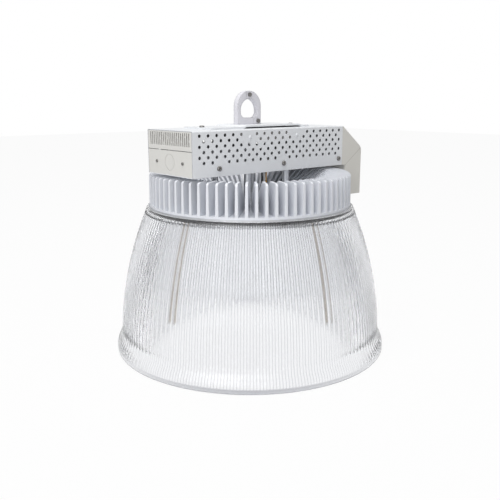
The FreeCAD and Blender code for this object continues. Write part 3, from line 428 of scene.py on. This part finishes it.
def gridQuads(rows, columns, wrapRows=False, wrapColumns=False):
    index = np.arange(rows * columns).reshape(rows, columns)
    if wrapRows:
        index = np.vstack([index, index[:1]])
    if wrapColumns:
        index = np.hstack([index, index[:, :1]])
    corners = [index[:-1, :-1], index[:-1, 1:], index[1:, 1:], index[1:, :-1]]
    return np.stack(corners, -1).reshape(-1, 4)


def setValues(piece, name, values):
    attribute = piece.data.attributes.new(name, "FLOAT", "POINT")
    attribute.data.foreach_set("value", np.ravel(values).astype(np.float32))


def arcBetween(start, end, radius, side, steps):
    # Points on an arc from start to end; side 1 puts the centre to the left of the way, -1 to the right.
    start, end = np.array(start, float), np.array(end, float)
    chord = end - start
    length = np.hypot(*chord)
    left = np.array([-chord[1], chord[0]]) / length
    centre = (start + end) / 2 + side * left * math.sqrt(max(radius**2 - length**2 / 4, 0))
    angles = [math.atan2(*(point - centre)[::-1]) for point in (start, end)]
    swing = (angles[1] - angles[0] + math.pi) % (2 * math.pi) - math.pi
    turns = angles[0] + np.linspace(0, 1, steps) * swing
    return centre + radius * np.stack([np.cos(turns), np.sin(turns)], -1)


def eased(values, start, end):
    # 0 at start and 1 at end, with t * t * (3 - 2 t) between them
    t = np.clip((values - start) / (end - start), 0, 1)
    return t * t * (3 - 2 * t)


# The bell

bell = {
    "height": 215.0,
    "neckRadius": 154.0,
    "neckBand": 3.5,
    "lipRadius": 134.0,
    "edge": 0.5,  # rounding of the neck's outer edge and of the lip
    "edgeMiddle": 0.3,  # how far a rounding's middle point lies inside its corner, as a share of it
    "wall": 4.0,
    "arc": 508.0,
    "flareHeight": 30.0,
    "rimRadius": 205.0,
    "rimReach": 7.5,
    "rimWidth": 5.0,
    "rimHeight": 6.0,
    "rimRound": (1.2, 0.4),  # rounding under the rim: its size, and its middle point from either side
    "outerSteps": 36,
    "innerSteps": 20,
    "bendSteps": 7,
    "prisms": 150,
    "prismDepth": 1.8,
    "setback": 0.4,
    "runIn": 6.0,  # height over which the prisms reach their full depth
    "runInRows": 5,
    "fade": (4.0, 2.0, -2.0),  # heights about the flare line, between which the prisms turn shallow
    "skirtShare": 0.2,  # depth of the prisms below the flare line, against those above it
    "profile": [  # over one prism: place across it, dip as a share of the depth, painted shade of a ridge or valley
        (0.0, 0.03, 1), (0.1, 0.18, 0), (0.4, 0.82, 0), (0.5, 0.97, 1), (0.6, 0.82, 0), (0.9, 0.18, 0),
    ],
    "lowShade": 0.5,  # strength of the painted shade on the prism edges low down, against that under the neck
    "darkFrom": (95.0, 150.0),  # heights between which that strength grows
    # strengths of the painted shade on the rim's foot and on the neck's band
    "rimShade": 0.8,
    "neckShade": 0.1,
    "seams": (-164.5, -162.0, -99.0, -96.5),  # degrees; the mould's parting lines, in pairs
    "seamWidth": 0.45,  # degrees
    "seamFoot": 82.0,
    "seamHead": 1.0,  # below the neck's band
}


def bellOutline(outer, steps):
    # The wall from the neck down to the rim: one large arc, then an S of two equal arcs.
    inset = 0 if outer else bell["wall"]
    foot = bell["rimRadius"] - bell["rimReach"] - inset
    rim = bell["rimRadius"] - (0 if outer else bell["rimWidth"])
    step, fall = rim - foot, bell["flareHeight"] - bell["rimHeight"]
    bend = (step**2 + fall**2) / (4 * step)
    neck = (bell["neckRadius"] - inset, bell["height"] - inset)
    middle = (foot + step / 2, bell["flareHeight"] - fall / 2)
    return np.vstack([
        arcBetween(neck, (foot, bell["flareHeight"]), bell["arc"] - inset, -1, steps)[:-1],
        arcBetween((foot, bell["flareHeight"]), middle, bend, 1, bell["bendSteps"])[:-1],
        arcBetween(middle, (rim, bell["rimHeight"]), bend, -1, bell["bendSteps"]),
    ])


def outerRows(prismTop):
    # the outer outline with rows added where the prisms begin and fade, and a rounded edge at the neck
    outer = bellOutline(True, bell["outerSteps"])
    edge, rounding = bell["edge"], bell["edge"] * bell["edgeMiddle"]
    runIn = np.linspace(0, bell["runIn"], bell["runInRows"])
    added = np.concatenate([[bell["height"] - edge], prismTop - runIn,
                            bell["flareHeight"] + np.array(bell["fade"])])
    radii = np.interp(added, outer[::-1, 1], outer[::-1, 0])
    outer = np.vstack([outer, np.stack([radii, added], -1)])
    outer = outer[np.argsort(-outer[:, 1])]
    return np.vstack([outer[0] - (edge, 0), outer[0] - (rounding, rounding), outer[1:]])


def turned(radii, heights, angle):
    # rows of points round the axis; a row has one height, and one radius or a radius for each angle
    return np.stack([radii * np.cos(angle), radii * np.sin(angle),
                     np.repeat(heights[:, None], len(angle), 1)], -1)


def makeBell():
    # The wall's outline is carried round the axis, six points to a prism. On the outside the radius dips
    # from ridge to valley in a wave of the angle, whose share of the depth depends on the height.
    prisms, edge, high = bell["prisms"], bell["edge"], bell["height"]
    prismTop = high - bell["neckBand"]
    outer = outerRows(prismTop)
    across, dip, ridges = np.array(bell["profile"]).T
    angle = ((np.arange(prisms)[:, None] + across) * 2 * math.pi / prisms).ravel()
    height = outer[:, 1]
    started = eased(height, prismTop, prismTop - bell["runIn"])
    above = eased(height, bell["flareHeight"] + bell["fade"][-1], bell["flareHeight"] + bell["fade"][0])
    onSkirt = eased(height, bell["rimHeight"], bell["flareHeight"] / 2)
    share = started * (above + (1 - above) * bell["skirtShare"]) * onSkirt
    depth = bell["prismDepth"] * outer[:, 0] / (bell["rimRadius"] - bell["rimReach"])
    setback = started * above * bell["setback"]
    radius = outer[:, :1] - setback[:, None] - np.tile(dip, prisms)[None] * (depth * share)[:, None]
    skin = turned(radius, height, angle)

    rimOut, rimIn = bell["rimRadius"], bell["rimRadius"] - bell["rimWidth"]
    big, small = bell["rimRound"]
    rimFoot = [(rimOut, big), (rimOut - small, small), (rimOut - big, 0)]
    lip, under = bell["lipRadius"], high - bell["wall"]
    rest = np.vstack([
        rimFoot,
        [(rimIn + big, 0), (rimIn + small, small), (rimIn, big)],
        bellOutline(False, bell["innerSteps"])[::-1],
        [(lip + edge, under), (lip, under + edge), (lip, high - edge), (lip + edge, high)],
    ])
    grid = np.concatenate([skin, turned(rest[:, :1], rest[:, 1], angle)])
    rows, columns = grid.shape[:2]
    quads = gridQuads(rows, columns, True, True)[:, ::-1]
    piece = addMesh("prismatic_bell", grid.reshape(-1, 3) * mm, quads, finishes["clear_acrylic"])

    # painted shade on the prism edges: weaker low down, faint on the neck's band, strong on the rim's foot
    edgeShade = bell["lowShade"] + (1 - bell["lowShade"]) * eased(height, *bell["darkFrom"])
    lines = (eased(height, high - edge, prismTop) * edgeShade)[:, None] * np.tile(ridges, prisms)[None]
    strength = np.zeros((rows, columns))
    strength[:len(skin)] = np.maximum(lines, (height > prismTop)[:, None] * bell["neckShade"])
    strength[len(skin) - 1:len(skin) + len(rimFoot)] = bell["rimShade"]
    setValues(piece, "prismShade", strength)

    degrees = np.degrees((angle + math.pi) % (2 * math.pi) - math.pi)
    onSeam = (np.abs(degrees[:, None] - bell["seams"]) < bell["seamWidth"]).any(1)
    tall = (height > bell["seamFoot"]) & (height < prismTop - bell["seamHead"])
    marks = np.zeros((rows, columns))
    marks[:len(skin)] = tall[:, None] & onSeam[None]
    setValues(piece, "seam", marks)
    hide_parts("reflector")
    print("bell:", len(piece.data.polygons), "faces")


makeBell()


# The perforated cover

cover = {
    "left": -143.0,
    "right": 146.0,
    "width": 105.0,
    "height": 60.5,
    "sheet": 1.2,
    "fold": 1.5,
    "foldSteps": 7,
    "pitch": 14.14,
    "rowPitch": 7.07,
    "rows": 6,
    "columns": 20,
    "firstHole": 11.7,  # from the left end
    "firstRow": 6.2,  # below the top
    "hole": 2.3,  # radius of a perforation
    "holeSides": 20,
    "holeMiddle": 0.98,  # a triangle whose middle is nearer than this share of the radius lies in the hole
    "snap": 1e-6,
    "keepOff": 9.6,  # no perforation's middle is nearer to a screw or rivet
    "screwMiddle": 19.2,
    "screwPitch": 118.5,
    "screwRise": 10.5,  # above the sides' lower edge
    "rivetPitch": 90.0,
    "rivetDrop": 10.3,  # below the top
    "stem": (-5.0, 6.2),  # middle along the box and radius of the stem's hole
}


def coverFixings():
    # the screws and rivets of one side as (along, below the top)
    screwRow = [(cover["screwMiddle"] + step * cover["screwPitch"], cover["height"] - cover["screwRise"])
                for step in (-1, 0, 1)]
    return screwRow + [(side * cover["rivetPitch"] / 2, cover["rivetDrop"]) for side in (-1, 1)]


def holeSpots():
    # the middles of one side's perforations on their staggered grid, as (along, below the top)
    row, column = np.mgrid[0:cover["rows"], 0:cover["columns"]]
    spots = np.stack([cover["left"] + cover["firstHole"] + (column + row % 2 / 2) * cover["pitch"],
                      cover["firstRow"] + row * cover["rowPitch"]], -1)
    spots = spots[column < cover["columns"] - row % 2]
    off = np.linalg.norm(spots[:, None] - np.array(coverFixings()), axis=2)
    return spots[(off > cover["keepOff"]).all(1)]


def sheetWithHoles(low, high, spots, radius):
    # A flat rectangle with round holes: triangles fill it between its outline and the circles, and those
    # whose middle lies in a circle are left out.
    turns = np.arange(cover["holeSides"]) * 2 * math.pi / cover["holeSides"]
    rims = np.asarray(spots, float)[:, None] + radius * np.stack([np.cos(turns), np.sin(turns)], -1)
    outline = [low, (high[0], low[1]), high, (low[0], high[1])]
    points = [Vector(point) for point in np.vstack([outline, rims.reshape(-1, 2)])]
    loops = np.arange(len(outline), len(points)).reshape(len(rims), -1)
    edges = np.vstack([[(0, 1), (1, 2), (2, 3), (3, 0)],
                       np.stack([loops, np.roll(loops, -1, 1)], -1).reshape(-1, 2)])
    filled = delaunay_2d_cdt(points, edges.tolist(), [], 0, cover["snap"])
    corners, triangles = np.array([point[:] for point in filled[0]]), np.array(filled[2])
    away = np.linalg.norm(corners[triangles].mean(1)[:, None] - np.asarray(spots, float), axis=2)
    return corners, triangles[(away > cover["holeMiddle"] * radius).all(1)]


def makeCover():
    # The sides and the top are filled sheets, and between them each fold's section turns from 0 to 90
    # degrees on the fold's radius. The rear is the front mirrored, with its faces turned round.
    half, fold, steps = cover["width"] / 2, cover["fold"], cover["foldSteps"]
    left, right, coverTop = cover["left"], cover["right"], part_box("box_cover")[1].z / mm
    stem, stemRadius = cover["stem"]
    side, sideFaces = sheetWithHoles((left, fold), (right, cover["height"]), holeSpots(), cover["hole"])
    deck, deckFaces = sheetWithHoles((left, fold - half), (right, half - fold), [(stem, 0)], stemRadius)
    turns = np.repeat(np.linspace(0, math.pi / 2, steps), 2)
    bend = np.stack([np.tile([left, right], steps), fold - half - fold * np.cos(turns),
                     coverTop - fold + fold * np.sin(turns)], -1)
    quads = gridQuads(steps, 2)
    bendFaces = np.vstack([quads[:, :3], quads[:, (0, 2, 3)]])
    front = np.stack([side[:, 0], np.full(len(side), -half), coverTop - side[:, 1]], -1)
    roof = np.column_stack([deck, np.full(len(deck), coverTop)])
    mirror = (1, -1, 1)
    parts = [(front, sideFaces[:, ::-1]), (front * mirror, sideFaces), (roof, deckFaces),
             (bend, bendFaces), (bend * mirror, bendFaces[:, ::-1])]
    starts = np.cumsum([0] + [len(points) for points, faces in parts])
    allPoints = np.vstack([points for points, faces in parts])
    allFaces = np.vstack([faces + start for (points, faces), start in zip(parts, starts)])
    piece = addMesh("perforated_cover", allPoints * mm, allFaces, finishes["powder_coated_steel"], False)
    shape = weldedShape(piece.data)
    shape.to_mesh(piece.data)
    shape.free()
    # the inner skin takes the painted shade of the inside, and the rims take that of the cut edges and
    # hole walls
    piece.data.materials.append(paintedInsideShade)
    piece.data.materials.append(paintedEdgeShade)
    thick = piece.modifiers.new("sheet", "SOLIDIFY")
    thick.thickness = cover["sheet"] * mm
    thick.offset = -1
    thick.material_offset = 1
    thick.material_offset_rim = 2
    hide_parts("box_cover")
    print("cover:", len(piece.data.polygons), "faces")


makeCover()


# Screws

screws = {  # radius and height of a head, and length of its cross over the radius
    "cover_screws": (3.6, 2.4, 0.62),
    "access_screws": (2.2, 1.5, 0.6),
    "saddle_screws": (3.6, 2.4, 0.62),
    "reflector_screws": (3.6, 2.4, 0.62),
    "frame_screws": (2.2, 1.5, 0.6),
    "board_screws": (2.2, 1.5, 0.6),
}
headForm = {
    "rings": (  # shares of the radius
        0, 0.08, 0.16, 0.24, 0.34, 0.44, 0.54, 0.64, 0.74, 0.84, 0.92, 0.97, 1.0, 1.0,
    ),
    "sides": 48,
    "shoulder": 0.45,  # height of the crown's edge over that of the head
    "blade": 0.13,  # half the width of the cross over the radius
    "bladeSlope": 0.35,  # width of the cross's sloped flank over the blade
    "endSlope": 0.15,  # length of its sloped ends over the radius
    "sink": 0.55,  # depth of the cross over the height
    "firstTurn": 0.5,  # radians; each head of a set is turned on by the next value
    "nextTurn": 1.7,
}


def panHead(radius, height, crossShare):
    # A pan head over a disc of (radius share, angle): a flat shoulder, a round crown, and a cross recess
    # that sinks where a point lies within half a blade's width of either axis.
    rings = np.array(headForm["rings"])
    turns = np.arange(headForm["sides"]) * 2 * math.pi / headForm["sides"]
    x, y = radius * rings[:, None] * np.cos(turns), radius * rings[:, None] * np.sin(turns)
    shoulder = headForm["shoulder"]
    crown = height * (shoulder + (1 - shoulder) * np.sqrt(np.clip(1 - rings**4, 0, 1)))
    crown[-1] = 0.0
    blade = radius * headForm["blade"]
    near = np.minimum(np.abs(x), np.abs(y))
    far = np.maximum(np.abs(x), np.abs(y))
    flank = np.clip((blade - near) / (headForm["bladeSlope"] * blade), 0, 1)
    end = np.clip((crossShare * radius - far) / (headForm["endSlope"] * radius), 0, 1)
    z = crown[:, None] - flank * end * height * headForm["sink"]
    return np.stack([x, y, np.maximum(z, 0)], -1)


def solidsOf(node):
    # the lowest and the highest corner of each loose solid of a CAD node, in millimetres
    shape = weldedShape(frame["nodes"][node].data)
    seen, found = set(), []
    for start in shape.verts:
        if start in seen:
            continue
        group, stack = [], [start]
        seen.add(start)
        while stack:
            vertex = stack.pop()
            group.append(vertex.co[:])
            for edge in vertex.link_edges:
                other = edge.other_vert(vertex)
                if other not in seen:
                    seen.add(other)
                    stack.append(other)
        corners = np.array(group) / mm
        found.append((corners.min(0), corners.max(0)))
    shape.free()
    return found


def outwardOf(node, axis, middle):
    # a side's screws look away from the box, the saddle's look up, and all others left or down
    if axis == 1:
        return math.copysign(1, middle[1])
    return 1.0 if node == "saddle_screws" else -1.0


def closeAndTurn(piece):
    # welds each head's middle, fills its seat and turns its faces outward
    shape = weldedShape(piece.data)
    bmesh.ops.holes_fill(shape, edges=[edge for edge in shape.edges if edge.is_boundary], sides=0)
    bmesh.ops.recalc_face_normals(shape, faces=shape.faces)
    shape.to_mesh(piece.data)
    shape.free()


def makeScrews():
    # each head stands where the CAD has it, on the seat that the box of its solid gives
    for node, (radius, height, crossShare) in screws.items():
        head = panHead(radius, height, crossShare)
        allPoints = []
        for number, (low, high) in enumerate(solidsOf(node)):
            middle = (low + high) / 2
            axis = int(np.argmin(np.abs(high - low - height)))
            outward = outwardOf(node, axis, middle)
            across = [index for index in range(3) if index != axis]
            spin = headForm["firstTurn"] + headForm["nextTurn"] * number
            x, y = head[..., 0], head[..., 1]
            points = np.empty(head.shape)
            points[..., across[0]] = middle[across[0]] + x * math.cos(spin) - y * math.sin(spin)
            points[..., across[1]] = middle[across[1]] + x * math.sin(spin) + y * math.cos(spin)
            seat = low[axis] if outward > 0 else high[axis]
            points[..., axis] = seat + outward * head[..., 2]
            allPoints.append(points)
        rows, columns = head.shape[:2]
        base = gridQuads(rows, columns, False, True)
        quads = np.vstack([base + number * rows * columns for number in range(len(allPoints))])
        piece = addMesh(node + "_heads", np.concatenate(allPoints).reshape(-1, 3) * mm, quads,
                        finishes["zinc_plated_steel"])
        closeAndTurn(piece)
        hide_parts(node)


makeScrews()
print("screw heads are on")

bpy.context.scene.view_settings.view_transform = "Standard"

# light goes through several clear walls, one behind the other
bpy.context.scene.cycles.max_bounces = 24
bpy.context.scene.cycles.transmission_bounces = 20
bpy.context.scene.cycles.transparent_max_bounces = 16
